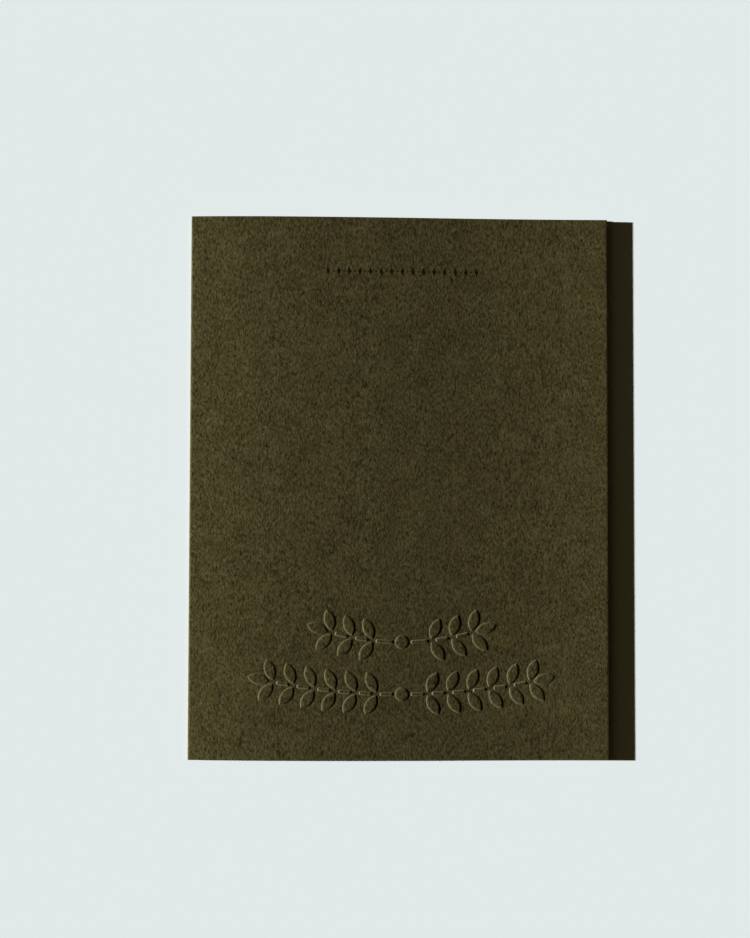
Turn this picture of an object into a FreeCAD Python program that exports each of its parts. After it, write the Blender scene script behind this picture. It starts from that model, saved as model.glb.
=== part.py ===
import FreeCAD, Part
import math
import os

# A folded greeting card, lying on its back panel with the fold on the left.
# One sheet of heavy card stock is pressed, printed, scored and folded once. The stiff fold lifts
# the cover, which bends back down, so that it stands proud beside the fold and its free edge is
# nearly closed. X runs from the fold to the free edge, Y along the fold, Z up. The origin is in
# the middle of the box that the card takes up, on the surface that it lies on.
# Lengths are in millimetres and angles in degrees.

# The folded sheet
PANEL_WIDTH = 107.95          # from the fold to the free edge
PANEL_HEIGHT = 139.70         # along the fold
STOCK_THICKNESS = 0.45
INNER_FOLD_RADIUS = 0.15

# The bend of the cover. Its middle, which carries print and embossing, stays flat.
COVER_LIFT = 1.55             # from the top of the fold to the start of the flat middle
COVER_FALL = 1.20             # along the flat middle, back towards the back panel
FREE_EDGE_LIFT = 0.25         # from the end of the flat middle to the free edge
BEND_CLEARANCE = 1.00         # between the widest ornament and the bends on both sides of it

# Blind embossing, pressed up from the inside of the cover
RELIEF_HEIGHT = 0.16
RELIEF_ROOT = 0.08            # how far each relief reaches down into the sheet
SHOULDER_WIDTH = 0.40         # the slope around each relief, seen from above
LARGEST_SHOULDER_SHARE = 0.33  # of a motif's width, so that a narrow motif keeps a flat top
ORNAMENT_SHIFT = 0.70         # how far print and embossing stand right of the panel's middle

# The motifs of the two festoons
LEAF_LENGTH = 5.70
LEAF_WIDTH = 2.90
LEAF_ANGLE = 61.0             # between a leaf and its stem
LEAF_STANDOFF = 0.45          # from the stem's centre line to the base of a leaf
LEAF_SPACING = 1.75           # between neighbouring leaves on one side of the stem
TIP_LEAF_SPACING = 1.20       # from the last pair of leaves to the leaf at the stem's tip
STEM_WIDTH = 0.90
BAR_START = 1.40              # from a pair of leaves to the next bar of the stem
BAR_STOP = 0.60               # from the end of a bar to the next pair of leaves
SHORTEST_BAR = 1.20           # of the stem, beside the berry
BERRY_DIAMETER = 3.60
BERRY_SPACING = 0.50          # from the berry to the stem on both sides

# The lower and the upper festoon. The height is that of the stem's lowest point.
LOWER_HALF_SPAN = 39.45
LOWER_SAG = 4.50
LOWER_HEIGHT = 16.75          # above the card's bottom edge
UPPER_HALF_SPAN = 24.30
UPPER_SAG = 4.50
UPPER_HEIGHT = 30.05          # above the card's bottom edge

# The printed row near the top edge: tall lozenges with a small square one between each two
ROW_WIDTH = 39.50
ROW_DROP = 14.10              # from the card's top edge to the middle of the row
LOZENGE_HEIGHT = 2.30
LOZENGE_WIDTH = 1.00
DOT_SIZE = 0.60               # of a small lozenge, from corner to corner
LOZENGE_PITCH = 2.75          # the row takes as many lozenges as come nearest to this
IMPRESSION_DEPTH = 0.08       # how deep the type presses the ink into the stock

# Worked out from the sizes above
OUTER_FOLD_RADIUS = INNER_FOLD_RADIUS + STOCK_THICKNESS
MIDDLE_RADIUS = INNER_FOLD_RADIUS + STOCK_THICKNESS / 2
COVER_LENGTH = PANEL_WIDTH - OUTER_FOLD_RADIUS
ORNAMENT_MIDDLE = PANEL_WIDTH / 2 + ORNAMENT_SHIFT
FLAT_REACH = max(LOWER_HALF_SPAN, UPPER_HALF_SPAN, ROW_WIDTH / 2) + BEND_CLEARANCE

# The cover in three stretches, with the slopes that give the three changes of height
FIRST_BEND = ORNAMENT_MIDDLE - FLAT_REACH - OUTER_FOLD_RADIUS
FLAT_MIDDLE = 2 * FLAT_REACH
LAST_BEND = COVER_LENGTH - FIRST_BEND - FLAT_MIDDLE
MIDDLE_SLOPE = -math.degrees(math.asin(COVER_FALL / FLAT_MIDDLE))
LEAVING_SLOPE = 2 * math.degrees(math.asin(COVER_LIFT / FIRST_BEND)) - MIDDLE_SLOPE
FREE_EDGE_SLOPE = 2 * math.degrees(math.asin(FREE_EDGE_LIFT / LAST_BEND)) - MIDDLE_SLOPE

RIGHT = FreeCAD.Vector(1, 0, 0)
ALONG = FreeCAD.Vector(0, 1, 0)
UP = FreeCAD.Vector(0, 0, 1)
FOLD_CENTRE = FreeCAD.Vector(-PANEL_WIDTH / 2 + OUTER_FOLD_RADIUS, 0, OUTER_FOLD_RADIUS)


# The middle line of the stock runs along the back panel, round the fold and along the cover. Each
# place on the cover is found by its distance from the fold along that line.

def onwards(slope):
    """The way that the cover runs where it has this slope."""
    return FreeCAD.Vector(math.cos(math.radians(slope)), 0, math.sin(math.radians(slope)))


def outwards(slope):
    """The way that its outer face looks there."""
    return FreeCAD.Vector(-math.sin(math.radians(slope)), 0, math.cos(math.radians(slope)))


def chord(length, turn):
    """How far apart the two ends of an arc are that is this long and turns by this angle."""
    half_turn = math.radians(turn) / 2
    return length * math.sin(half_turn) / half_turn if half_turn else length


def on_cover(distance):
    """The place on the cover's middle line at this distance from the fold, and its slope."""
    place = FOLD_CENTRE + outwards(LEAVING_SLOPE) * MIDDLE_RADIUS
    slope = LEAVING_SLOPE
    stretches = [
        (FIRST_BEND, MIDDLE_SLOPE),
        (FLAT_MIDDLE, MIDDLE_SLOPE),
        (LAST_BEND, FREE_EDGE_SLOPE),
    ]
    for length, last_slope in stretches:
        walked = min(distance, length)
        turn = (last_slope - slope) * walked / length
        place += onwards(slope + turn / 2) * chord(walked, turn)
        slope += turn
        distance -= walked
        if distance <= 0:
            break
    return place, slope


def beside_cover(distance, offset):
    """The place at an offset outwards from the middle line."""
    place, slope = on_cover(distance)
    return place + outwards(slope) * offset


# The sheet: a back panel, a half-round fold and a cover, with one section all along the fold

def line(start, end):
    return Part.LineSegment(start, end).toShape()


def arc_of_cover(start, end, offset):
    stations = [start, (start + end) / 2, end]
    return Part.Arc(*[beside_cover(station, offset) for station in stations]).toShape()


def panel_side(radius):
    """The section of one face of the sheet, along the back panel, round the fold and along the
    cover: its two ends, where the sheet's cut edges meet it, and its five pieces."""
    offset = radius - MIDDLE_RADIUS
    flat_end = FIRST_BEND + FLAT_MIDDLE
    back_start = FOLD_CENTRE - UP * radius
    back_edge = back_start + RIGHT * COVER_LENGTH
    fold_side = FOLD_CENTRE - RIGHT * radius
    pieces = [
        line(back_edge, back_start),
        Part.Arc(back_start, fold_side, beside_cover(0, offset)).toShape(),
        arc_of_cover(0, FIRST_BEND, offset),
        line(beside_cover(FIRST_BEND, offset), beside_cover(flat_end, offset)),
        arc_of_cover(flat_end, COVER_LENGTH, offset),
    ]
    return back_edge, beside_cover(COVER_LENGTH, offset), pieces


def folded_sheet():
    outer_back, outer_cover, outer_side = panel_side(OUTER_FOLD_RADIUS)
    inner_back, inner_cover, inner_side = panel_side(INNER_FOLD_RADIUS)
    cut_edges = [line(outer_back, inner_back), line(outer_cover, inner_cover)]
    section = Part.Wire(Part.sortEdges(outer_side + inner_side + cut_edges)[0])
    section.translate(ALONG * (-PANEL_HEIGHT / 2))
    return Part.Face(section).extrude(ALONG * PANEL_HEIGHT)


# Each motif is made flat about its own centre, with its nominal outline on the level of the paper.
# Its shoulders slope in to its flat top, and on down to its root in the sheet.

def shoulder_width(motif_width):
    return min(SHOULDER_WIDTH, LARGEST_SHOULDER_SHARE * motif_width)


def root_flare(shoulder):
    """How far the slope of a shoulder spreads further out on its way down to the root."""
    return shoulder * RELIEF_ROOT / RELIEF_HEIGHT


def sloping_disc(radius, shoulder, middle=0):
    root = FreeCAD.Vector(0, middle, -RELIEF_ROOT)
    root_radius = radius + root_flare(shoulder)
    return Part.makeCone(root_radius, radius - shoulder, RELIEF_ROOT + RELIEF_HEIGHT, root)


def berry():
    return sloping_disc(BERRY_DIAMETER / 2, shoulder_width(BERRY_DIAMETER))


def leaf():
    """A pointed oval along X: what two large sloping discs have in common."""
    shoulder = shoulder_width(LEAF_WIDTH)
    radius = (LEAF_LENGTH ** 2 + LEAF_WIDTH ** 2) / (4 * LEAF_WIDTH)
    offset = radius - LEAF_WIDTH / 2
    return sloping_disc(radius, shoulder, -offset).common(sloping_disc(radius, shoulder, offset))


def stem_bar(length):
    """A short straight bar of the stem along X, with four sloping sides."""
    shoulder = shoulder_width(STEM_WIDTH)
    root_x = length / 2 + root_flare(shoulder)
    root_y = STEM_WIDTH / 2 + root_flare(shoulder)
    top_x = length / 2 - shoulder
    top_y = STEM_WIDTH / 2 - shoulder
    bar = Part.makeWedge(
        -root_x, -RELIEF_ROOT, -root_y, -top_y, -top_x,
        root_x, RELIEF_HEIGHT, root_y, top_y, top_x,
    )
    bar.rotate(FreeCAD.Vector(), FreeCAD.Vector(1, 0, 0), 90)
    return bar


# A motif goes to a place on the cover, given by its distance from the card's left edge along the
# paper, its height above the card's bottom edge, its turn from the X axis and how far it is sunk
# below the outer face.

def laid_on_cover(motif, across, height, turn=0, sunk=0):
    middle, slope = on_cover(across - OUTER_FOLD_RADIUS)
    place = middle + outwards(slope) * (STOCK_THICKNESS / 2 - sunk)
    place += ALONG * (height - PANEL_HEIGHT / 2)
    tilt = FreeCAD.Rotation(ALONG, -slope)
    spin = FreeCAD.Rotation(UP, turn)
    laid = motif.copy()
    laid.Placement = FreeCAD.Placement(place, tilt * spin) * motif.Placement
    return laid


LEAF_PITCH = (LEAF_WIDTH + LEAF_SPACING) / math.sin(math.radians(LEAF_ANGLE))


def arm_motifs(arm_length):
    """The motifs of half a festoon: each with its distance along the stem, its distance out to
    the side along its own turn, and that turn from the stem. Pairs of leaves are set out from
    the stem's tip, as many as leave room for a bar beside the berry."""
    stem_start = BERRY_DIAMETER / 2 + BERRY_SPACING
    tip_leaf = arm_length - LEAF_LENGTH
    last_pair = tip_leaf - TIP_LEAF_SPACING
    nearest_pair = stem_start + SHORTEST_BAR + BAR_STOP
    count = 1 + int((last_pair - nearest_pair) / LEAF_PITCH)
    pairs = [last_pair - LEAF_PITCH * number for number in reversed(range(count))]
    for along in pairs:
        for side in (-1, 1):
            yield leaf(), along, LEAF_STANDOFF + LEAF_LENGTH / 2, LEAF_ANGLE * side
    bar_starts = [stem_start] + [along + BAR_START for along in pairs[:-1]]
    for bar_start, pair in zip(bar_starts, pairs):
        length = pair - BAR_STOP - bar_start
        yield stem_bar(length), bar_start + length / 2, 0, 0
    yield leaf(), tip_leaf + LEAF_LENGTH / 2, 0, 0


def festoon_motifs(half_span, sag):
    """Every motif of a festoon with its place from the stem's lowest point and its turn. The
    stem hangs in an arc from both of its ends, with a berry at the bottom."""
    yield berry(), 0, 0, 0
    stem_radius = (half_span ** 2 + sag ** 2) / (2 * sag)
    arm_length = stem_radius * math.asin(half_span / stem_radius)
    for motif, along, outwards, turn in arm_motifs(arm_length):
        climb = along / stem_radius
        heading = climb + math.radians(turn)
        across = stem_radius * math.sin(climb) + outwards * math.cos(heading)
        height = stem_radius * (1 - math.cos(climb)) + outwards * math.sin(heading)
        yield motif, across, height, math.degrees(heading)
        yield motif, -across, height, 180 - math.degrees(heading)


def embossing():
    """The reliefs on the cover, and the hollows that the same motifs leave on its inside."""
    reliefs = []
    hollows = []
    festoons = [
        (LOWER_HALF_SPAN, LOWER_SAG, LOWER_HEIGHT),
        (UPPER_HALF_SPAN, UPPER_SAG, UPPER_HEIGHT),
    ]
    for half_span, sag, stem_height in festoons:
        for motif, across, height, turn in festoon_motifs(half_span, sag):
            place = (ORNAMENT_MIDDLE + across, stem_height + height, turn)
            reliefs.append(laid_on_cover(motif, *place))
            hollows.append(laid_on_cover(motif, *place, sunk=STOCK_THICKNESS))
    return reliefs, hollows


# The printed row: tall lozenges with a small one between each two, pressed in by the type

def lozenge(width, height):
    corners = [
        FreeCAD.Vector(width / 2, 0, -IMPRESSION_DEPTH),
        FreeCAD.Vector(0, height / 2, -IMPRESSION_DEPTH),
        FreeCAD.Vector(-width / 2, 0, -IMPRESSION_DEPTH),
        FreeCAD.Vector(0, -height / 2, -IMPRESSION_DEPTH),
    ]
    outline = Part.makePolygon(corners + corners[:1])
    return Part.Face(outline).extrude(UP * (2 * IMPRESSION_DEPTH))


def printed_row():
    steps = max(1, round((ROW_WIDTH - LOZENGE_WIDTH) / LOZENGE_PITCH))
    pitch = (ROW_WIDTH - LOZENGE_WIDTH) / steps
    left = ORNAMENT_MIDDLE - (ROW_WIDTH - LOZENGE_WIDTH) / 2
    height = PANEL_HEIGHT - ROW_DROP
    tall = lozenge(LOZENGE_WIDTH, LOZENGE_HEIGHT)
    small = lozenge(DOT_SIZE, DOT_SIZE)
    for number in range(steps + 1):
        yield laid_on_cover(tall, left + pitch * number, height)
    for number in range(steps):
        yield laid_on_cover(small, left + pitch * (number + 0.5), height)


# The whole card

raised_motifs, hollows_inside = embossing()
pressed_sheet = folded_sheet().fuse(raised_motifs).cut(hollows_inside)
printed_sheet = pressed_sheet.cut(list(printed_row()))
print("solids", len(printed_sheet.Solids), "valid", printed_sheet.isValid())
card = printed_sheet.Solids[0]

os.makedirs("parts", exist_ok=True)
card.exportStep("parts/card.step")

box = card.BoundBox
print("slopes %.2f %.2f %.2f" % (LEAVING_SLOPE, MIDDLE_SLOPE, FREE_EDGE_SLOPE))
print("motifs", len(raised_motifs), "faces", len(card.Faces), "volume %.1f" % card.Volume)
print("x %.3f to %.3f" % (box.XMin, box.XMax))
print("y %.3f to %.3f" % (box.YMin, box.YMax))
print("z %.3f to %.3f" % (box.ZMin, box.ZMax))
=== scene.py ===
# %% [markdown]
# # A folded greeting card in heavy embossed stock
#
# The real card is one sheet of thick, dyed card stock. It is pressed between a raised die and its
# counter, printed by letterpress, trimmed, scored and folded once. This script works in the same
# order as the workshop: it lays out the flat sheet, presses the leaves into it, gives it its
# thickness, prints it, trims its edges, and only then folds it. Everything before the fold
# happens on a level plane, where each operator has an easy job.

# %% Load the frame
import math

import bmesh
import bpy
from mathutils import Euler, Matrix, Vector


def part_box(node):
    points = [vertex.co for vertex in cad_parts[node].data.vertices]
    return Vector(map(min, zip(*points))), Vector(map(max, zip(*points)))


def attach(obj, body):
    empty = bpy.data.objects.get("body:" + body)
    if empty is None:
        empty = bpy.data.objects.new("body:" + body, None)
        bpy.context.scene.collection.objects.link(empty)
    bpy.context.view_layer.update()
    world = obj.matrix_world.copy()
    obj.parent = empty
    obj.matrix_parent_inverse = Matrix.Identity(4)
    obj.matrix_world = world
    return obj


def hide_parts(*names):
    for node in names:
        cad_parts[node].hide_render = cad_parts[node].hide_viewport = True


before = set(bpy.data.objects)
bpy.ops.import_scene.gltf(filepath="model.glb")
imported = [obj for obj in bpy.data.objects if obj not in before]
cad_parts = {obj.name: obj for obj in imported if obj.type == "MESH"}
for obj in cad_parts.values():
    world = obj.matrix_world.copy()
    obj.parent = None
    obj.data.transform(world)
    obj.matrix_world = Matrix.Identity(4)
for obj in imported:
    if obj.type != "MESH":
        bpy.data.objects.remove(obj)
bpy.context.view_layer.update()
card_low, card_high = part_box("card")
print("the card's box in metres:", tuple(card_low), tuple(card_high))

# %% [markdown]
# ## The sheet
#
# Card stock of this weight is 0.45 mm thick. The panel sizes come from the frame, so that the
# finished card fills the same box. The sheet is worked on in millimetres, and the fold turns them
# into metres. Values for materials, light and camera are in metres, as Blender needs them there.
#
# The flat sheet lies in the XY plane with its outer face up, at Z = 0. X is the distance from the
# spine, so the back panel is at negative X and the cover at positive X. Y runs along the fold.

# %% Sizes of the sheet
MM = 0.001
PANEL_WIDTH = (card_high.x - card_low.x) / MM
PANEL_HEIGHT = (card_high.y - card_low.y) / MM
STOCK_THICKNESS = 0.45
INNER_FOLD_RADIUS = 0.15
LEAVING_SLOPE = math.radians(6.3)      # of the cover where it leaves the fold

OUTER_FOLD_RADIUS = INNER_FOLD_RADIUS + STOCK_THICKNESS
MIDDLE_RADIUS = INNER_FOLD_RADIUS + STOCK_THICKNESS / 2
COVER_LENGTH = PANEL_WIDTH - OUTER_FOLD_RADIUS
half_fold = MIDDLE_RADIUS * (math.pi - LEAVING_SLOPE) / 2
sheet_start = -half_fold - COVER_LENGTH
sheet_end = half_fold + COVER_LENGTH
print("flat sheet %.2f by %.2f mm, fold %.2f mm long" % (
    sheet_end - sheet_start, PANEL_HEIGHT, 2 * half_fold))

# %% [markdown]
# ## The shoulder of the embossing
#
# Where the die pushes the stock up, the paper breaks sharply at the foot and rounds over into the
# flat top. Raking light shows mostly this curve, so it is given as a formula and not as a bevel:
# a superellipse, steep at the foot and level at the top. Every motif takes the same curve, as
# they are all pressed by one die. The rings get closer towards the foot, where it bends most.

# %% The curve of a shoulder
RELIEF_HEIGHT = 0.16
SHOULDER_WIDTH = 0.70
LARGEST_SHOULDER_SHARE = 0.80  # of a motif's half width, so that a narrow bar keeps a flat top
SHOULDER_RINGS = 8
RING_CROWDING = 1.6           # 1 would space the rings evenly
CREST_ROUNDNESS = 2.2
FOOT_STEEPNESS = 1.4
FOOT_BAND = 0.10              # a level band around the foot, so that the ground shades flat


def shoulder_curve(half_width):
    """Distances in from the foot with their heights, from the level band to the flat top."""
    width = min(SHOULDER_WIDTH, LARGEST_SHOULDER_SHARE * half_width)
    points = [(-FOOT_BAND, 0.0), (0.0, 0.0)]
    for ring in range(1, SHOULDER_RINGS + 1):
        share = (ring / SHOULDER_RINGS) ** RING_CROWDING
        climbed = (1 - (1 - share) ** CREST_ROUNDNESS) ** (1 / FOOT_STEEPNESS)
        points.append((share * width, climbed * RELIEF_HEIGHT))
    return points


widest = shoulder_curve(SHOULDER_WIDTH / LARGEST_SHOULDER_SHARE)
print("distance in and height of the shoulder:", ["%.2f, %.2f" % point for point in widest])

# %% [markdown]
# ## The motifs
#
# A leaf is a pointed oval: two equal arcs that meet at its tips. A boolean of two sloping discs
# would make it, but spinning the shoulder curve along one arc, cutting off what crosses the
# leaf's middle line and mirroring the rest gives clean rows of quads that shade smoothly.
# A bar of the stem and a berry are spun from the same curve.

# %% Helpers for the motifs
MERGE_DISTANCE = 0.002        # points closer than this are one point


def curve_of_edges(bm, half_width, start):
    """The shoulder curve and the flat top as a row of edges: start is where the foot stands, and
    the row runs from there towards negative Y, to the middle of the motif."""
    curve = shoulder_curve(half_width)
    curve.append((half_width, curve[-1][1]))
    row = [bm.verts.new(start + Vector((0, -inwards, height))) for inwards, height in curve]
    return row + [bm.edges.new(pair) for pair in zip(row, row[1:])]


def everything(bm):
    return bm.verts[:] + bm.edges[:] + bm.faces[:]


def mirrored(bm, axis):
    bmesh.ops.mirror(bm, geom=everything(bm), matrix=Matrix(), merge_dist=MERGE_DISTANCE, axis=axis)


def motif_mesh(bm, name):
    """Keeps a finished motif as a mesh, which is laid into the sheet as often as it is needed."""
    bmesh.ops.remove_doubles(bm, verts=bm.verts, dist=MERGE_DISTANCE)
    mesh = bpy.data.meshes.new(name)
    bm.to_mesh(mesh)
    bm.free()
    return mesh


# %% A leaf
LEAF_LENGTH = 5.70
LEAF_WIDTH = 2.90
LEAF_STEPS = 22               # along one side of the leaf
OVERRUN = 0.05                # how far the spun top passes the middle line before it is cut


def leaf():
    """The upper half is spun round the far centre of its arc, from tip to tip, then mirrored."""
    bm = bmesh.new()
    radius = (LEAF_LENGTH ** 2 + LEAF_WIDTH ** 2) / (4 * LEAF_WIDTH)
    centre = Vector((0, LEAF_WIDTH / 2 - radius, 0))
    tip_angle = math.acos(-centre.y / (radius + FOOT_BAND))
    row = curve_of_edges(bm, LEAF_WIDTH / 2 + OVERRUN, Vector((0, LEAF_WIDTH / 2, 0)))
    turn = Matrix.Rotation(tip_angle, 3, "Z")
    bmesh.ops.rotate(bm, verts=bm.verts, cent=centre, matrix=turn)
    bmesh.ops.spin(
        bm, geom=row, cent=centre, axis=(0, 0, 1), angle=-2 * tip_angle, steps=LEAF_STEPS)
    bmesh.ops.bisect_plane(
        bm, geom=everything(bm), dist=MERGE_DISTANCE, plane_co=(0, 0, 0), plane_no=(0, -1, 0),
        clear_outer=True)
    mirrored(bm, "Y")
    return motif_mesh(bm, "leaf")


leaf_shape = leaf()
print("a leaf has", len(leaf_shape.polygons), "faces")

# %% A berry and a bar of the stem
BERRY_DIAMETER = 3.60
BERRY_STEPS = 48
STEM_WIDTH = 0.90
BAR_END_STEPS = 8             # round a quarter of a bar's end


def berry():
    bm = bmesh.new()
    radius = BERRY_DIAMETER / 2
    row = curve_of_edges(bm, radius, Vector((0, radius, 0)))
    bmesh.ops.spin(
        bm, geom=row, cent=(0, 0, 0), axis=(0, 0, 1), angle=2 * math.pi, steps=BERRY_STEPS,
        use_merge=True)
    return motif_mesh(bm, "berry")


def stem_bar(length):
    """A quarter of the bar, from its middle to the end of its long side and round the corner,
    which is then mirrored twice."""
    bm = bmesh.new()
    half_width = STEM_WIDTH / 2
    half_side = length / 2 - half_width
    row = curve_of_edges(bm, half_width, Vector((0, half_width, 0)))
    side = bmesh.ops.extrude_edge_only(bm, edges=[part for part in row if part in bm.edges])
    moved = [part for part in side["geom"] if isinstance(part, bmesh.types.BMVert)]
    bmesh.ops.translate(bm, verts=moved, vec=(half_side, 0, 0))
    end = moved + [part for part in side["geom"] if isinstance(part, bmesh.types.BMEdge)]
    bmesh.ops.spin(
        bm, geom=end, cent=(half_side, 0, 0), axis=(0, 0, 1), angle=-math.pi / 2,
        steps=BAR_END_STEPS)
    mirrored(bm, "X")
    mirrored(bm, "Y")
    return motif_mesh(bm, "bar")


berry_shape = berry()
print("a berry has", len(berry_shape.polygons), "faces")

# %% [markdown]
# ## The printed row
#
# Letterpress pushes each piece of type a little into the stock, so every mark sits in a dent of
# its own size. A mark here is a lozenge: a circle of four points, stretched, with three rings
# inset. The middle ring becomes the wall of the dent, and the other two stay level. The corners
# stay sharp, because the rings would fold over at an eased corner. For now the lozenge is flat:
# only the outer face gets the dent, and the sheet is given its inner face first.
#
# Each lozenge comes in the middle of its own tile of bare stock. Side by side, the tiles make up
# the row's ground. Filling the whole row at once would join the lozenges' tips, which stand in
# one line, by triangles without any width.

# %% A lozenge on its tile
LOZENGE_HEIGHT = 2.30
LOZENGE_WIDTH = 1.00
DOT_SIZE = 0.60               # the small lozenges between the tall ones are this wide and tall
IMPRESSION_DEPTH = 0.03
IMPRESSION_WALL = 0.05
LEVEL_BAND = 0.04             # a level strip on both sides of the wall, so that both shade flat
TILE_HEIGHT = 3.60
STOCK, INK = 0, 1             # the two materials' places on the card


def lozenge_tile(width, height, tile_width):
    bm = bmesh.new()
    to_side = width * height / (2 * math.hypot(width, height))
    with_band = 1 + LEVEL_BAND / to_side
    bmesh.ops.create_circle(bm, cap_ends=True, radius=with_band / 2, segments=4)
    bmesh.ops.scale(bm, verts=bm.verts, vec=(width, height, 1))
    floor = bm.faces[:]
    for ring_width in (LEVEL_BAND, IMPRESSION_WALL, LEVEL_BAND):
        ring = bmesh.ops.inset_region(
            bm, faces=floor, thickness=ring_width, use_boundary=True, use_even_offset=True)
    for face in floor + ring["faces"]:
        face.material_index = INK
    outline = [edge for edge in bm.edges if edge.is_boundary]
    corners = [
        bm.verts.new((across * tile_width / 2, along * TILE_HEIGHT / 2, 0))
        for across, along in ((-1, -1), (1, -1), (1, 1), (-1, 1))
    ]
    border = [bm.edges.new(pair) for pair in zip(corners, corners[1:] + corners[:1])]
    bmesh.ops.triangle_fill(bm, edges=outline + border, use_beauty=True)
    return motif_mesh(bm, "lozenge")


# %% [markdown]
# ## Where the motifs stand
#
# Two festoons hang one above the other on the lower part of the cover. Each has a berry at the
# bottom of its stem, pairs of leaves at an even pitch, a bar of stem before each pair and one
# leaf at each tip. The stem is an arc, so a place on it is found by walking along the arc.
#
# The printed row runs near the top edge, where tall and small lozenges take turns.

# %% The layout of a festoon
ORNAMENT_SHIFT = 0.70         # how far print and embossing stand right of the panel's middle
LEAF_ANGLE = math.radians(61)
LEAF_STANDOFF = 0.45
LEAF_SPACING = 1.75
TIP_LEAF_SPACING = 1.20
BAR_START = 1.40              # from a pair of leaves to the bar that follows it
BAR_STOP = 0.60               # from a bar to the pair that follows it
SHORTEST_BAR = 1.20
BERRY_SPACING = 0.50

LEAF_PITCH = (LEAF_WIDTH + LEAF_SPACING) / math.sin(LEAF_ANGLE)
ornament_middle = half_fold - OUTER_FOLD_RADIUS + PANEL_WIDTH / 2 + ORNAMENT_SHIFT


def arm_of_motifs(arm_length):
    """The motifs of half a festoon: a mesh, its distance along the stem, its distance out to the
    side along its own turn, and that turn from the stem."""
    stem_start = BERRY_DIAMETER / 2 + BERRY_SPACING
    tip_leaf = arm_length - LEAF_LENGTH
    last_pair = tip_leaf - TIP_LEAF_SPACING
    nearest_pair = stem_start + SHORTEST_BAR + BAR_STOP
    count = 1 + int((last_pair - nearest_pair) / LEAF_PITCH)
    pairs = [last_pair - LEAF_PITCH * number for number in reversed(range(count))]
    for along in pairs:
        for turn in (LEAF_ANGLE, -LEAF_ANGLE):
            yield leaf_shape, along, LEAF_STANDOFF + LEAF_LENGTH / 2, turn
    bar_starts = [stem_start] + [along + BAR_START for along in pairs[:-1]]
    for bar_start, pair in zip(bar_starts, pairs):
        length = pair - BAR_STOP - bar_start
        yield stem_bar(length), bar_start + length / 2, 0, 0
    yield leaf_shape, tip_leaf + LEAF_LENGTH / 2, 0, 0


def festoon_places(half_span, sag, stem_height):
    """Each motif of a festoon with its place on the flat sheet."""
    middle = Vector((ornament_middle, stem_height - PANEL_HEIGHT / 2, 0))
    yield berry_shape, Matrix.Translation(middle)
    stem_radius = (half_span ** 2 + sag ** 2) / (2 * sag)
    arm_length = stem_radius * math.asin(half_span / stem_radius)
    for shape, along, standoff, turn in arm_of_motifs(arm_length):
        climb = along / stem_radius
        heading = climb + turn
        across = stem_radius * math.sin(climb) + standoff * math.cos(heading)
        height = stem_radius * (1 - math.cos(climb)) + standoff * math.sin(heading)
        for side, facing in ((1, heading), (-1, math.pi - heading)):
            place = middle + Vector((side * across, height, 0))
            yield shape, Matrix.Translation(place) @ Matrix.Rotation(facing, 4, "Z")


# %% The layout of the printed row
ROW_WIDTH = 39.50
ROW_DROP = 14.10              # from the card's top edge to the middle of the row
LOZENGE_PITCH = 2.75          # about this far from one tall lozenge to the next

steps_of_row = round((ROW_WIDTH - LOZENGE_WIDTH) / LOZENGE_PITCH)
tile_width = (ROW_WIDTH - LOZENGE_WIDTH) / steps_of_row / 2
tiles_in_row = 2 * steps_of_row + 1
row_height = PANEL_HEIGHT / 2 - ROW_DROP
row_start = ornament_middle - tiles_in_row * tile_width / 2


def row_places():
    """Each tile of the row with its place: tall and small lozenges in turn."""
    tall = lozenge_tile(LOZENGE_WIDTH, LOZENGE_HEIGHT, tile_width)
    small = lozenge_tile(DOT_SIZE, DOT_SIZE, tile_width)
    for number in range(tiles_in_row):
        shape = small if number % 2 else tall
        across = row_start + (number + 0.5) * tile_width
        yield shape, Matrix.Translation((across, row_height, 0))


print("the row has", tiles_in_row, "tiles, each %.2f mm wide" % tile_width)

# %% Places of all motifs
LOWER_FESTOON = (39.45, 4.50, 16.75)   # half its span, its sag and its stem's lowest point
UPPER_FESTOON = (24.30, 4.50, 30.05)

festoons = [*festoon_places(*LOWER_FESTOON), *festoon_places(*UPPER_FESTOON)]
printed_marks = list(row_places())
print(len(festoons), "embossed motifs and", len(printed_marks), "printed marks")

# %% [markdown]
# ## Pressing the motifs into the sheet
#
# The sheet starts as one rectangle, cut along straight lines into the strips that the fold and
# the tiles of the printed row need. Two fields are then opened in it. The tiles fit their field
# exactly. The festoons' motifs stand free in theirs, and the ground is filled in around their
# feet. A boolean could do this too, but it would leave the thin slivers that show under raking
# light.

# %% Cut the flat sheet into strips
EDGE_BAND = 0.60              # a strip along each cut edge
FOLD_CUTS = 18                # strips around the fold
FIELD_MARGIN = 2.0            # from the outermost leaf to the edge of the festoons' field
RIGHT, ALONG, UP = Vector((1, 0, 0)), Vector((0, 1, 0)), Vector((0, 0, 1))


def cut_across(bm, distance, direction):
    """Cuts every face along a straight line that stands square to the direction."""
    bmesh.ops.bisect_plane(
        bm, geom=everything(bm), dist=MERGE_DISTANCE, plane_co=direction * distance,
        plane_no=direction)


def field_of_festoons():
    """The lowest and highest corner of the field that all leaves and berries need."""
    middles = [place.translation for shape, place in festoons]
    reach = LEAF_LENGTH / 2 + FIELD_MARGIN
    low = Vector((min(middle.x for middle in middles), min(middle.y for middle in middles)))
    high = Vector((max(middle.x for middle in middles), max(middle.y for middle in middles)))
    return low - Vector((reach, reach)), high + Vector((reach, reach))


row_low = Vector((row_start, row_height - TILE_HEIGHT / 2))
row_high = Vector((row_start + tiles_in_row * tile_width, row_height + TILE_HEIGHT / 2))
fields = [field_of_festoons(), (row_low, row_high)]

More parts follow.
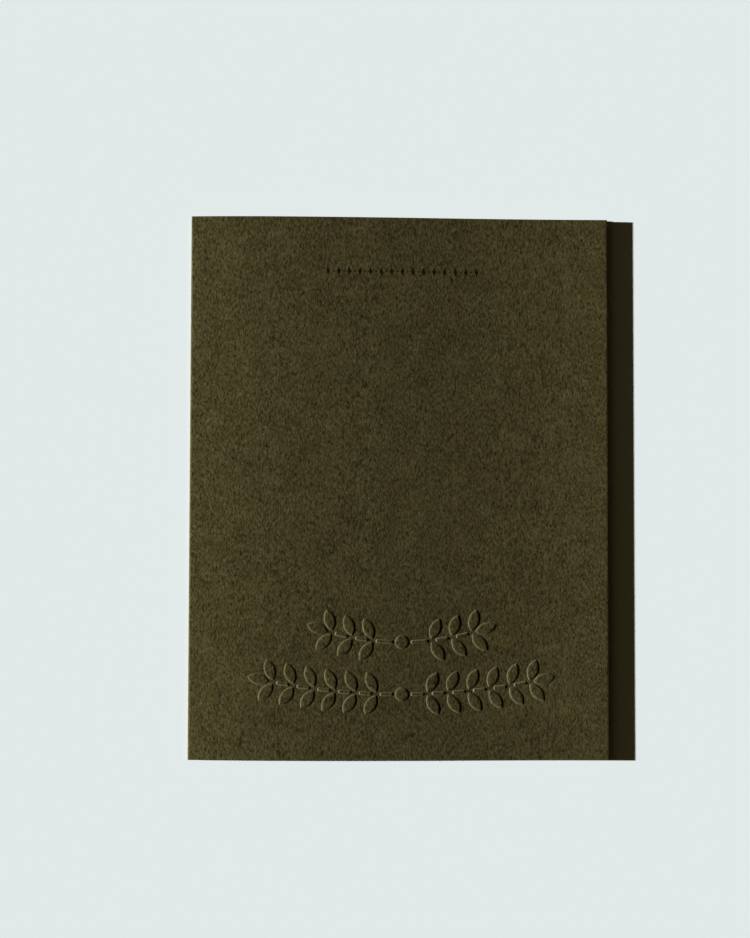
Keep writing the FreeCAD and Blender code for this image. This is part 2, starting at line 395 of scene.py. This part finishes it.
sheet = bmesh.new()
bmesh.ops.create_grid(sheet, x_segments=1, y_segments=1, size=1 / 2)    # a square with sides of 1
bmesh.ops.scale(sheet, verts=sheet.verts, vec=(sheet_end - sheet_start, PANEL_HEIGHT, 1))
bmesh.ops.translate(sheet, verts=sheet.verts, vec=((sheet_start + sheet_end) / 2, 0, 0))
for number in range(FOLD_CUTS + 1):
    cut_across(sheet, half_fold * (2 * number / FOLD_CUTS - 1), RIGHT)
for edge_line in (sheet_start + EDGE_BAND, sheet_end - EDGE_BAND):
    cut_across(sheet, edge_line, RIGHT)
for side in (-1, 1):
    cut_across(sheet, side * (half_fold + EDGE_BAND), RIGHT)
    cut_across(sheet, side * (PANEL_HEIGHT / 2 - EDGE_BAND), ALONG)
for low, high in fields:
    for corner in (low, high):
        cut_across(sheet, corner.x, RIGHT)
        cut_across(sheet, corner.y, ALONG)
for number in range(1, tiles_in_row):
    cut_across(sheet, row_start + number * tile_width, RIGHT)
print("the cut sheet has", len(sheet.faces), "faces")

# %% Open the fields, lay in the motifs and fill the ground


def lay_in(bm, shape, place):
    bm.verts.ensure_lookup_table()
    before = len(bm.verts)
    bm.from_mesh(shape)
    bm.verts.ensure_lookup_table()
    bmesh.ops.transform(bm, matrix=place, verts=bm.verts[before:])


def inside(point, low, high):
    return low.x < point.x < high.x and low.y < point.y < high.y


def open_edges(bm, low, high):
    """The edges on one face only, in a field or on its border."""
    slack = Vector((MERGE_DISTANCE, MERGE_DISTANCE))
    wide_low, wide_high = low - slack, high + slack
    return [
        edge for edge in bm.edges
        if edge.is_boundary and all(inside(vert.co, wide_low, wide_high) for vert in edge.verts)
    ]


for (low, high), places in zip(fields, (festoons, printed_marks)):
    opened = [face for face in sheet.faces if inside(face.calc_center_median(), low, high)]
    bmesh.ops.delete(sheet, geom=opened, context="FACES")
    for shape, place in places:
        lay_in(sheet, shape, place)
    bmesh.ops.remove_doubles(sheet, verts=sheet.verts, dist=MERGE_DISTANCE)
    gap = open_edges(sheet, low, high)
    if gap:                   # the tiles leave none
        bmesh.ops.triangle_fill(sheet, edges=gap, use_beauty=True)
bmesh.ops.recalc_face_normals(sheet, faces=sheet.faces)
if sum(face.normal.z for face in sheet.faces) < 0:
    bmesh.ops.reverse_faces(sheet, faces=sheet.faces)
print("with its motifs the sheet has", len(sheet.faces), "faces and",
      sum(edge.is_boundary for edge in sheet.edges), "open edges, the smallest face measures",
      "%.5f mm2" % min(face.calc_area() for face in sheet.faces))

# %% [markdown]
# ## Thickness, print and trimmed edges
#
# The cover is cut into strips that will follow its bend. The inside of the cover shows the same
# motifs as hollows, because the stock keeps its thickness when it is pressed. Extruding the whole
# sheet downwards by that thickness makes the inner face and the four cut edges in one step. The
# type then pushes its dents into the outer face alone, and a small bevel takes the sharpness off
# the cut edges, as the trimming knife does.

# %% Give the sheet its thickness
TILES_PER_STRIP = 4           # a strip is this many tiles wide, to be cut between the lozenges

strip_width = TILES_PER_STRIP * tile_width
cut = row_start - strip_width * int((row_start - half_fold - EDGE_BAND) / strip_width)
while cut < sheet_end - EDGE_BAND:
    cut_across(sheet, cut, RIGHT)
    cut += strip_width

inner = bmesh.ops.extrude_face_region(sheet, geom=sheet.faces[:], use_keep_orig=True)["geom"]
inner_verts = [part for part in inner if isinstance(part, bmesh.types.BMVert)]
bmesh.ops.translate(sheet, verts=inner_verts, vec=-UP * STOCK_THICKNESS)
bmesh.ops.recalc_face_normals(sheet, faces=sheet.faces)
if sheet.calc_volume(signed=True) < 0:
    bmesh.ops.reverse_faces(sheet, faces=sheet.faces)
print("volume of the flat sheet: %.0f mm3" % sheet.calc_volume())

# %% Print and trim
EDGE_EASING = 0.05
CUT_EDGE_ANGLE = math.radians(80)      # only the cut edges turn by more than this

pressed = set()
for face in sheet.faces:
    if face.material_index == INK and face.normal.z > 0:
        pressed.update(face.verts)
    elif face.normal.z < 0:
        face.material_index = STOCK
bmesh.ops.translate(sheet, verts=list(pressed), vec=-UP * IMPRESSION_DEPTH)
for face in sheet.faces:
    if pressed.intersection(face.verts):
        face.material_index = INK     # the ink also coats the wall of the dent

cut_edges = [edge for edge in sheet.edges if edge.calc_face_angle(0) > CUT_EDGE_ANGLE]
bmesh.ops.bevel(
    sheet, geom=cut_edges, offset=EDGE_EASING, offset_type="OFFSET", segments=2, profile=0.5,
    affect="EDGES", material=-1)
print(len(cut_edges), "edges eased,", len(pressed), "points pressed in by the type")

# %% [markdown]
# ## Fold
#
# Bending the flat sheet is the last step. A point keeps its distance from the middle of the
# stock's thickness, and the middle line runs straight along the back panel, round the fold and up
# the cover. The cover isn't flat: the stiff fold pushes it up, and pressing the card shut has bent
# it back down, so it stands proud near the fold, slopes down past its middle and turns up again
# at the free edge. Three arcs of large circles make that line. Under raking light, these slopes
# of a few degrees are what makes one part of the cover brighter than another.
#
# Two facts about the paper are kept as an attribute before the bend: how strongly it was
# stretched by the die, which its slope shows, and that its fibres broke open along the spine.
# The material paints both pale. This is partly torn fibres and partly a painted highlight on the
# embossing's slopes and along the spine.

# %% Note where the fibres are stretched or broken, and where the painted highlight goes
STRETCH_AND_HIGHLIGHT_SLOPE = 0.45           # one less the normal's height, where the fibres are all pulled open and the painted highlight is full
BROKEN_AND_HIGHLIGHT_AT_SPINE = 0.2         # the share of the fibres that broke there, and of the painted highlight along the spine

wear_and_highlight_layer = sheet.verts.layers.float.new("wear_and_highlight")
sheet.normal_update()
# Steep slopes and the outside of the spine are marked for a pale colour: partly stretched and torn
# fibres, partly a painted highlight on the relief's slopes and on the fold, whichever way they
# face.
for vert in sheet.verts:
    stretched = (1 - abs(vert.normal.z)) / STRETCH_AND_HIGHLIGHT_SLOPE
    broken = 1 - abs(vert.co.x) / half_fold
    on_outside = vert.co.z > -STOCK_THICKNESS / 2
    vert[wear_and_highlight_layer] = min(1, max(stretched, broken * BROKEN_AND_HIGHLIGHT_AT_SPINE if on_outside else 0))
print("the most worn point has %.2f" % max(vert[wear_and_highlight_layer] for vert in sheet.verts))

# %% Bend the sheet and move it into the frame
CREST_DISTANCE = 24.0         # from the fold to where the cover is nearly level
CREST_SLOPE = math.radians(0.5)
DIP_DISTANCE = 64.0           # from the fold to where it slopes down the most
DIP_SLOPE = math.radians(-2.3)
FREE_EDGE_SLOPE = math.radians(1.8)

fold_centre = Vector((-PANEL_WIDTH / 2 + OUTER_FOLD_RADIUS, 0, OUTER_FOLD_RADIUS))
cover_arcs = [
    (CREST_DISTANCE, LEAVING_SLOPE, CREST_SLOPE),
    (DIP_DISTANCE - CREST_DISTANCE, CREST_SLOPE, DIP_SLOPE),
    (COVER_LENGTH - DIP_DISTANCE, DIP_SLOPE, FREE_EDGE_SLOPE),
]


def outer_side(heading):
    """The direction out of the stock's outer face, where the middle line has this heading."""
    return Vector((-math.sin(heading), 0, math.cos(heading)))


def on_cover(distance):
    """The place on the cover's middle line at a distance from the fold, and its heading. An arc's
    radius is its length / (first - last), and walking along it turns that radius from its first
    direction to its last, so the place moves by the difference of the two."""
    place = fold_centre + outer_side(LEAVING_SLOPE) * MIDDLE_RADIUS
    heading = LEAVING_SLOPE
    for length, first, last in cover_arcs:
        walked = min(distance, length)
        heading = first + (last - first) * walked / length
        place += (outer_side(heading) - outer_side(first)) * length / (first - last)
        distance -= walked
        if distance <= 0:
            break
    return place, heading


def folded(flat):
    """Where a point of the flat sheet is on the folded card, in millimetres."""
    walked = flat.x + half_fold
    if walked < 0:
        heading = math.pi
        middle = fold_centre - UP * MIDDLE_RADIUS - RIGHT * walked
    elif walked < 2 * half_fold:
        heading = math.pi - walked / MIDDLE_RADIUS
        middle = fold_centre + outer_side(heading) * MIDDLE_RADIUS
    else:
        middle, heading = on_cover(walked - 2 * half_fold)
    return middle + outer_side(heading) * (flat.z + STOCK_THICKNESS / 2) + ALONG * flat.y


for vert in sheet.verts:
    vert.co = folded(vert.co) * MM
for face in sheet.faces:
    face.smooth = True
print("the folded card's volume: %.0f mm3" % (sheet.calc_volume(signed=True) / MM ** 3))

# %% [markdown]
# ## The card as an object
#
# The whole card is one sheet of paper, so it is one object. It sits at the origin, unturned, and
# its place is in its mesh. The patterns of its materials are then measured from the same origin.

# %% Make the card's object
card_mesh = bpy.data.meshes.new("folded_card_stock")
sheet.to_mesh(card_mesh)
sheet.free()
card = bpy.data.objects.new("folded_card_stock", card_mesh)
bpy.context.scene.collection.objects.link(card)
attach(card, "root")
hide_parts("card")
triangles = sum(len(polygon.vertices) - 2 for polygon in card_mesh.polygons)
print("the card has", triangles, "triangles")

# %% [markdown]
# ## Materials
#
# Paper, ink and board have nothing on them that shines. The shader's gloss would turn the card
# pale grey at a low angle, so every material here has it switched off.
#
# Two helpers serve them all. One turns the hex colours that people read off a screen into the
# linear values that Blender calculates with. The other adds a node, sets it and wires it, and
# gives back the output that the next node needs.

# %% Helpers for materials
MIX_SHARE, MIX_FIRST, MIX_SECOND, MIX_RESULT = 0, 6, 7, 2     # a Mix node's sockets for colours


def colour(hex_code):
    """An sRGB hex colour as linear red, green, blue and alpha."""
    shares = [int(hex_code[place:place + 2], 16) / 255 for place in (1, 3, 5)]
    linear = [
        share / 12.92 if share <= 0.04045 else ((share + 0.055) / 1.055) ** 2.4
        for share in shares
    ]
    return (*linear, 1.0)


def add_node(tree, kind, inputs=None, output=0, **settings):
    """Adds a node with its settings and gives back one of its output sockets. Each input, given by
    name or number, gets a value or a link from another node's output socket."""
    node = tree.nodes.new(kind)
    for name, value in settings.items():
        setattr(node, name, value)
    for key, value in (inputs or {}).items():
        if isinstance(value, bpy.types.NodeSocket):
            tree.links.new(value, node.inputs[key])
        else:
            node.inputs[key].default_value = value
    return node.outputs[output]


def new_material(name, roughness=1.0):
    """A material without gloss, its node tree and its shader."""
    material = bpy.data.materials.new(name)
    material.use_nodes = True
    shader = material.node_tree.nodes["Principled BSDF"]
    shader.inputs["Roughness"].default_value = roughness
    shader.inputs["Specular IOR Level"].default_value = 0.0
    return material, material.node_tree, shader


# %% [markdown]
# ## The card stock
#
# The stock is uncoated cotton and wood fibre, dyed in the pulp and dried against a felt. Nothing
# seals it, so it is fully matte. What the eye sees is the fibres themselves: short, lying mostly
# along the fold, some pale where they took less dye and some dark in the pores between them.
# Clouds of a few millimetres come from the way the pulp settled, and shift a little between green
# and brown. Where the die stretched the stock and where the fold broke it, torn fibres show pale.
# The same pale colour is also a painted highlight on every steep slope of the embossing and along
# the spine.
#
# Noise stretched along the fibre direction draws them, in three layers that cross at small
# angles. The same layers drive the bump, because a fibre that looks pale also stands proud. Two
# more layers lie steeper across and show only their highest places: the pale flecks. Real fibres
# are a few hundredths of a millimetre wide, too fine to show in the picture. These are about ten
# times as wide, as the mottle on real stock is, where many fibres lie together.

# %% Fibres, flecks and clouds
FIBRE_WIDTH = 0.34 * MM
FIBRE_LENGTH = 1.10 * MM
FIBRE_TURN = math.radians(22)          # how far the crossing layers lean from the fibre direction
FIBRE_DETAIL = 2.0                     # times that the noise is repeated at half the size
FIBRE_ROUGHNESS = 0.6                  # how strong each repeat is, next to the one before
FLECK_WIDTH = 0.30 * MM
FLECK_LENGTH = 0.90 * MM
FLECK_TURN = math.radians(30)
FLECK_DETAIL = 0.0                     # a fleck has a smooth outline
FLECK_START, FLECK_FULL = 0.60, 0.80   # of the noise: only its peaks are flecks
FLECK_SHARE = 0.28                     # of the fleck's colour where it is full
CLOUD_SIZE = 4.5 * MM
CLOUD_DETAIL = 2.0
CLOUD_LOW, CLOUD_HIGH = 0.3, 0.7       # of the noise, where a cloud begins and is full


def fibres(tree, place, width, length, turn, detail):
    """Noise that is stretched along the fold: its strength, about 0.5."""
    laid = add_node(
        tree, "ShaderNodeMapping",
        {"Vector": place, "Rotation": (0, 0, turn), "Scale": (width, length, width)},
        vector_type="TEXTURE")
    return add_node(
        tree, "ShaderNodeTexNoise",
        {"Vector": laid, "Scale": 1.0, "Detail": detail, "Roughness": FIBRE_ROUGHNESS})


def fibre_height(tree, place):
    """How high the fibres stand: half comes from a straight layer, half from two that lean."""
    left, straight, right = (
        fibres(tree, place, FIBRE_WIDTH, FIBRE_LENGTH, turn, FIBRE_DETAIL)
        for turn in (FIBRE_TURN, 0, -FIBRE_TURN))
    leaning = add_node(tree, "ShaderNodeMix", {"Factor": 0.5, "A": left, "B": right})
    return add_node(tree, "ShaderNodeMix", {"Factor": 0.5, "A": leaning, "B": straight})


def flecks(tree, place):
    """How strongly pale fibres on the surface cover the colour below them."""
    left, right = (
        fibres(tree, place, FLECK_WIDTH, FLECK_LENGTH, turn, FLECK_DETAIL)
        for turn in (FLECK_TURN, -FLECK_TURN))
    highest = add_node(tree, "ShaderNodeMath", {0: left, 1: right}, operation="MAXIMUM")
    return add_node(
        tree, "ShaderNodeMapRange",
        {"Value": highest, "From Min": FLECK_START, "From Max": FLECK_FULL, "To Max": FLECK_SHARE})


def clouds(tree, place):
    """Soft patches, from 0 to 1."""
    noise = add_node(
        tree, "ShaderNodeTexNoise",
        {"Vector": place, "Scale": 1 / CLOUD_SIZE, "Detail": CLOUD_DETAIL})
    return add_node(
        tree, "ShaderNodeMapRange", {"Value": noise, "From Min": CLOUD_LOW, "From Max": CLOUD_HIGH})


# %% [markdown]
# ## The colour of the stock
#
# The colour is built up in coats, each mixed over the last: the dyed fibres over the dark pores,
# the tint and the brightness of the clouds, the flecks, and the torn fibres with their painted
# highlight on steep slopes and along the spine.

# %% Card stock
DARK_FIBRE, PALE_FIBRE = "#1e1b0a", "#4b4429"
PORE_HEIGHT, CREST_HEIGHT = 0.38, 0.62          # of the fibres, where they are darkest and palest
BROWN_CLOUD, GREEN_CLOUD = "#c2a488", "#a8b894"
TINT_SHARE = 0.05
CLOUD_CONTRAST = 0.13                           # how much a cloud is darker or brighter
FLECK_COLOUR = "#69644a"
# The pale colour of torn fibres, which also serves as a painted highlight on steep slopes and at
# the spine.
TORN_FIBRE_AND_HIGHLIGHT = "#8f8b72"
TORN_AND_HIGHLIGHT_SHARE = 0.65                               # of its colour where all fibres are pulled open and the painted highlight is full
FIBRE_RELIEF = 0.0135 * MM


def card_stock():
    material, tree, shader = new_material("dyed_uncoated_cotton_card_stock")
    place = add_node(tree, "ShaderNodeTexCoord", output="Object")
    height = fibre_height(tree, place)
    dyed = add_node(
        tree, "ShaderNodeMapRange",
        {"Value": height, "From Min": PORE_HEIGHT, "From Max": CREST_HEIGHT})
    cloud = clouds(tree, place)
    tint = add_node(
        tree, "ShaderNodeMix",
        {MIX_SHARE: cloud, MIX_FIRST: colour(BROWN_CLOUD), MIX_SECOND: colour(GREEN_CLOUD)},
        output=MIX_RESULT, data_type="RGBA")
    brightness = add_node(
        tree, "ShaderNodeMapRange",
        {"Value": cloud, "To Min": 1 - CLOUD_CONTRAST, "To Max": 1 + CLOUD_CONTRAST})
    # The pale mark read here is torn fibres and a painted highlight on the slopes and the spine.
    wear_and_highlight = add_node(tree, "ShaderNodeAttribute", output="Fac", attribute_name="wear_and_highlight")
    torn_and_highlight = add_node(tree, "ShaderNodeMath", {0: wear_and_highlight, 1: TORN_AND_HIGHLIGHT_SHARE}, operation="MULTIPLY")
    surface = colour(DARK_FIBRE)
    for share, coat, blend in (
            (dyed, colour(PALE_FIBRE), "MIX"),
            (TINT_SHARE, tint, "OVERLAY"),
            (1.0, brightness, "MULTIPLY"),
            (flecks(tree, place), colour(FLECK_COLOUR), "MIX"),
            (torn_and_highlight, colour(TORN_FIBRE_AND_HIGHLIGHT), "MIX")):
        surface = add_node(
            tree, "ShaderNodeMix", {MIX_SHARE: share, MIX_FIRST: surface, MIX_SECOND: coat},
            output=MIX_RESULT, data_type="RGBA", blend_type=blend)
    tree.links.new(surface, shader.inputs["Base Color"])
    bump = add_node(
        tree, "ShaderNodeBump", {"Height": height, "Distance": FIBRE_RELIEF, "Strength": 1.0})
    tree.links.new(bump, shader.inputs["Normal"])
    return material


# %% [markdown]
# ## The printing ink
#
# Letterpress ink is an oily black-brown film that the type squeezes into the fibres. It fills the
# smallest pores, so it is a little smoother than the bare stock. The uncoated fibres soak up its
# oil, which leaves no shine, and they still show through: darkest in the pores between them.

# %% Letterpress ink
INK_IN_PORES, INK_ON_FIBRES = "#100c04", "#241d0e"
INKED_PORE_HEIGHT, INKED_CREST_HEIGHT = 0.40, 0.70
INK_ROUGHNESS = 0.7
INKED_RELIEF = FIBRE_RELIEF / 2        # the ink fills the pores half way


def letterpress_ink():
    material, tree, shader = new_material("oil_based_letterpress_ink", INK_ROUGHNESS)
    place = add_node(tree, "ShaderNodeTexCoord", output="Object")
    height = fibre_height(tree, place)
    thinned = add_node(
        tree, "ShaderNodeMapRange",
        {"Value": height, "From Min": INKED_PORE_HEIGHT, "From Max": INKED_CREST_HEIGHT})
    film = add_node(
        tree, "ShaderNodeMix",
        {MIX_SHARE: thinned, MIX_FIRST: colour(INK_IN_PORES), MIX_SECOND: colour(INK_ON_FIBRES)},
        output=MIX_RESULT, data_type="RGBA")
    tree.links.new(film, shader.inputs["Base Color"])
    bump = add_node(
        tree, "ShaderNodeBump", {"Height": height, "Distance": INKED_RELIEF, "Strength": 1.0})
    tree.links.new(bump, shader.inputs["Normal"])
    return material


card_mesh.materials.append(card_stock())
card_mesh.materials.append(letterpress_ink())
print("materials:", [material.name for material in card_mesh.materials])

# %% [markdown]
# ## The floor and the light
#
# The card lies on a plain pale board. The main light comes low from the left, which is what makes
# blind embossing readable at all: it has no colour of its own, only lit and shaded slopes. The
# wall around the window glows a little too. That wide light reaches the outer part of the card's
# shadow and not the part under its edge, so the shadow is darkest there. A weak even light from
# the sky keeps it open.
#
# The lamps' strengths are worked out so that a level surface renders in the colour that its
# material says. The world shows the board's colour where the camera sees past it.

# %% The floor
BOARD_COLOUR = "#e1e9e9"
FLOOR_SIZE = 6.0
FLOOR_DROP = 0.02 * MM        # below the card, so that the two faces don't lie in one plane


def pale_board():
    material, _, shader = new_material("matte_painted_board")
    shader.inputs["Base Color"].default_value = colour(BOARD_COLOUR)
    return material


floor_bm = bmesh.new()
bmesh.ops.create_grid(floor_bm, x_segments=1, y_segments=1, size=FLOOR_SIZE / 2)
bmesh.ops.translate(floor_bm, verts=floor_bm.verts, vec=-UP * FLOOR_DROP)
floor_mesh = bpy.data.meshes.new("board")
floor_bm.to_mesh(floor_mesh)
floor_bm.free()
floor_mesh.materials.append(pale_board())
board = bpy.data.objects.new("board", floor_mesh)
bpy.context.scene.collection.objects.link(board)
print("the board measures", tuple(board.dimensions), "m")

# %% The window's light and its glow
LIGHT_TURN = math.radians(178)         # where the light comes from, turned from +X
LIGHT_HEIGHT = math.radians(14.2)
LIGHT_SOFTNESS = math.radians(1.0)
GLOW_HEIGHT = math.radians(35)
GLOW_SOFTNESS = math.radians(60)
GLOW_SHARE = 0.0150                    # of the light on a level surface, and so is SKY_SHARE
GLOW_COLOUR = "#ffeba9"
SKY_SHARE = 0.0110
SKY_COLOUR = "#ffd776"

sky_light = [SKY_SHARE * share for share in colour(SKY_COLOUR)[:3]]
glow_light = [GLOW_SHARE * share for share in colour(GLOW_COLOUR)[:3]]
window_light = [1 - sky - glow for sky, glow in zip(sky_light, glow_light)]


def add_sun(name, height, softness, light):
    """A sun from the left that gives a level white surface this light."""
    sun_data = bpy.data.lights.new(name, "SUN")
    sun_data.angle = softness
    sun_data.energy = math.pi / math.sin(height)
    sun_data.color = light
    sun = bpy.data.objects.new(name, sun_data)
    sun.location = Vector((
        math.cos(height) * math.cos(LIGHT_TURN),
        math.cos(height) * math.sin(LIGHT_TURN),
        math.sin(height)))
    sun.rotation_euler = sun.location.to_track_quat("Z", "Y").to_euler()
    bpy.context.scene.collection.objects.link(sun)
    print(name, "strength %.2f" % sun_data.energy)


add_sun("window_light", LIGHT_HEIGHT, LIGHT_SOFTNESS, window_light)
add_sun("window_glow", GLOW_HEIGHT, GLOW_SOFTNESS, glow_light)

# %% The sky
world = bpy.data.worlds.new("pale_room")
bpy.context.scene.world = world
world.use_nodes = True
sky_tree = world.node_tree
seen = 0.0
for ray in ("Is Camera Ray", "Is Transmission Ray", "Is Glossy Ray"):
    of_this_kind = add_node(sky_tree, "ShaderNodeLightPath", output=ray)
    seen = add_node(sky_tree, "ShaderNodeMath", {0: seen, 1: of_this_kind}, operation="MAXIMUM")
tone = add_node(
    sky_tree, "ShaderNodeMix",
    {MIX_SHARE: seen, MIX_FIRST: (*sky_light, 1.0), MIX_SECOND: colour(BOARD_COLOUR)},
    output=MIX_RESULT, data_type="RGBA")
sky_tree.links.new(tone, sky_tree.nodes["Background"].inputs["Color"])
print("the sky gives", ["%.4f" % share for share in sky_light], "of the light")

# %% [markdown]
# ## The camera
#
# The photograph looks almost straight down from about 0.6 m with a short telephoto lens. The
# place and the small tilts were found by matching the card's four corners.

# %% Camera
CAMERA_PLACE = Vector((-32.8, -34.0, 598.9)) * MM
CAMERA_TILTS = (math.radians(3.689), math.radians(-2.542), math.radians(0.142))
FRAME_HEIGHT = 36             # as on a camera, these two are in millimetres
FOCAL_LENGTH = 89.35
NEAREST_SEEN = 10 * MM

camera_data = bpy.data.cameras.new("camera")
camera_data.sensor_fit = "VERTICAL"
camera_data.sensor_height = FRAME_HEIGHT
camera_data.lens = FOCAL_LENGTH
camera_data.clip_start = NEAREST_SEEN
camera = bpy.data.objects.new("camera", camera_data)
camera.location = CAMERA_PLACE
camera.rotation_euler = Euler(CAMERA_TILTS, "XYZ")
bpy.context.scene.collection.objects.link(camera)
bpy.context.scene.camera = camera
bpy.context.scene.view_settings.view_transform = "Standard"
print("the camera stands %.3f m above the board" % camera.location.z)

# %% [markdown]
# ## The size
#
# The visual model is built to fill the CAD model's box and stay inside it.

# %% Finish
bpy.context.view_layer.update()
